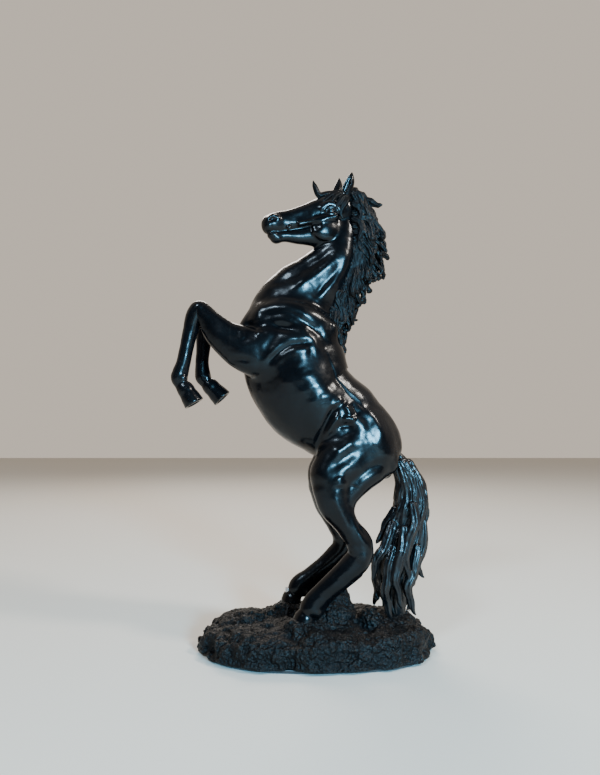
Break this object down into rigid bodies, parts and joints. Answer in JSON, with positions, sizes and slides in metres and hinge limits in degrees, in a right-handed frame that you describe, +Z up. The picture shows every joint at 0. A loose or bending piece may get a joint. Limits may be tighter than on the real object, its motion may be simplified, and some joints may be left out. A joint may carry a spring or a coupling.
{
  "type": "horse statuette",
  "caption": "Rearing horse cast in dark patinated bronze, with a flowing mane and a long tail, standing on its hind legs on a low rock base.",
  "frame": {"origin": "centre of the base's footprint, on the surface it stands on", "axes": "+Z up; the horse faces -X; its left side faces -Y"},
  "size_m": [0.1595, 0.0782, 0.3],
  "materials": {
    "dark_bronze": "satin near-black patina over cast bronze",
    "rock_bronze": "rough near-black patina over cast bronze",
    "bare_bronze": "turned, unpatinated bronze",
    "steel": "zinc plated",
    "felt": "pressed wool felt"
  },
  "bodies": {
    "root": {"torso_casting": "dark_bronze", "neck_and_head_casting": "dark_bronze", "mane_casting": "dark_bronze", "forelock_casting": "dark_bronze", "left_foreleg_casting": "dark_bronze", "right_foreleg_casting": "dark_bronze", "left_hind_leg_casting": "dark_bronze", "right_hind_leg_casting": "dark_bronze", "tail_casting": "dark_bronze", "rock_base_casting": "rock_bronze", "felt_base_pad": "felt", "neck_joint_sleeve": "bare_bronze", "neck_joint_pins": "bare_bronze", "left_foreleg_dowel": "bare_bronze", "right_foreleg_dowel": "bare_bronze", "left_hind_leg_dowel": "bare_bronze", "right_hind_leg_dowel": "bare_bronze", "tail_dowel": "bare_bronze", "mane_pins": "bare_bronze", "forelock_pin": "bare_bronze", "left_hoof_stud": "steel", "right_hoof_stud": "steel", "tail_stud": "steel", "stud_washers": "steel", "stud_nuts": "steel"}
  },
  "joints": []
}
